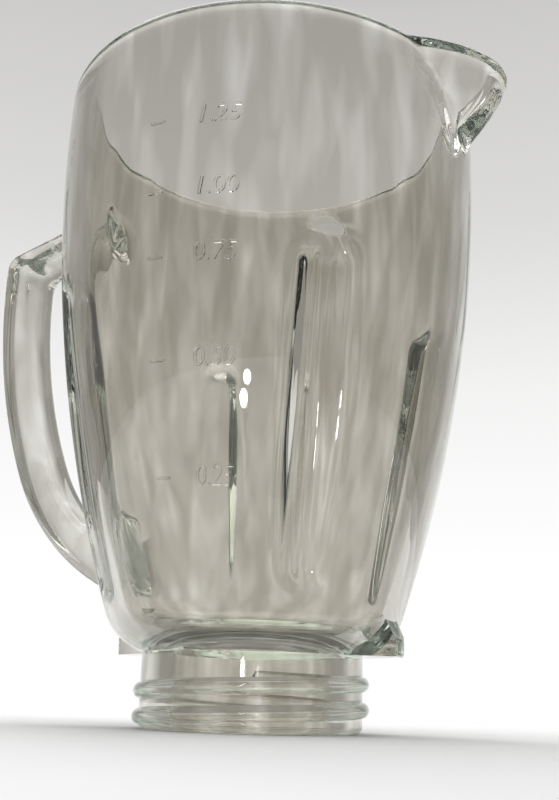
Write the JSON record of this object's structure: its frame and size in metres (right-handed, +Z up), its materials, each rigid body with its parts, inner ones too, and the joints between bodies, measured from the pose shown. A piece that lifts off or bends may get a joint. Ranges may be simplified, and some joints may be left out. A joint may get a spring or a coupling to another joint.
{
  "type": "blender jar",
  "caption": "Clear pressed-glass blender jar: bulging fluted body, pouring spout, loop handle, locking lugs and a coarse-threaded open neck.",
  "frame": {"origin": "centre of the neck's foot, the ring that the jar stands on", "axes": "+Z up along the jar's axis, +X towards the spout, the handle towards -X"},
  "size_m": [0.1926, 0.138, 0.203],
  "materials": {
    "glass": "clear pressed glass, faintly green where thick"
  },
  "bodies": {
    "root": {"jar": "glass"}
  },
  "joints": []
}
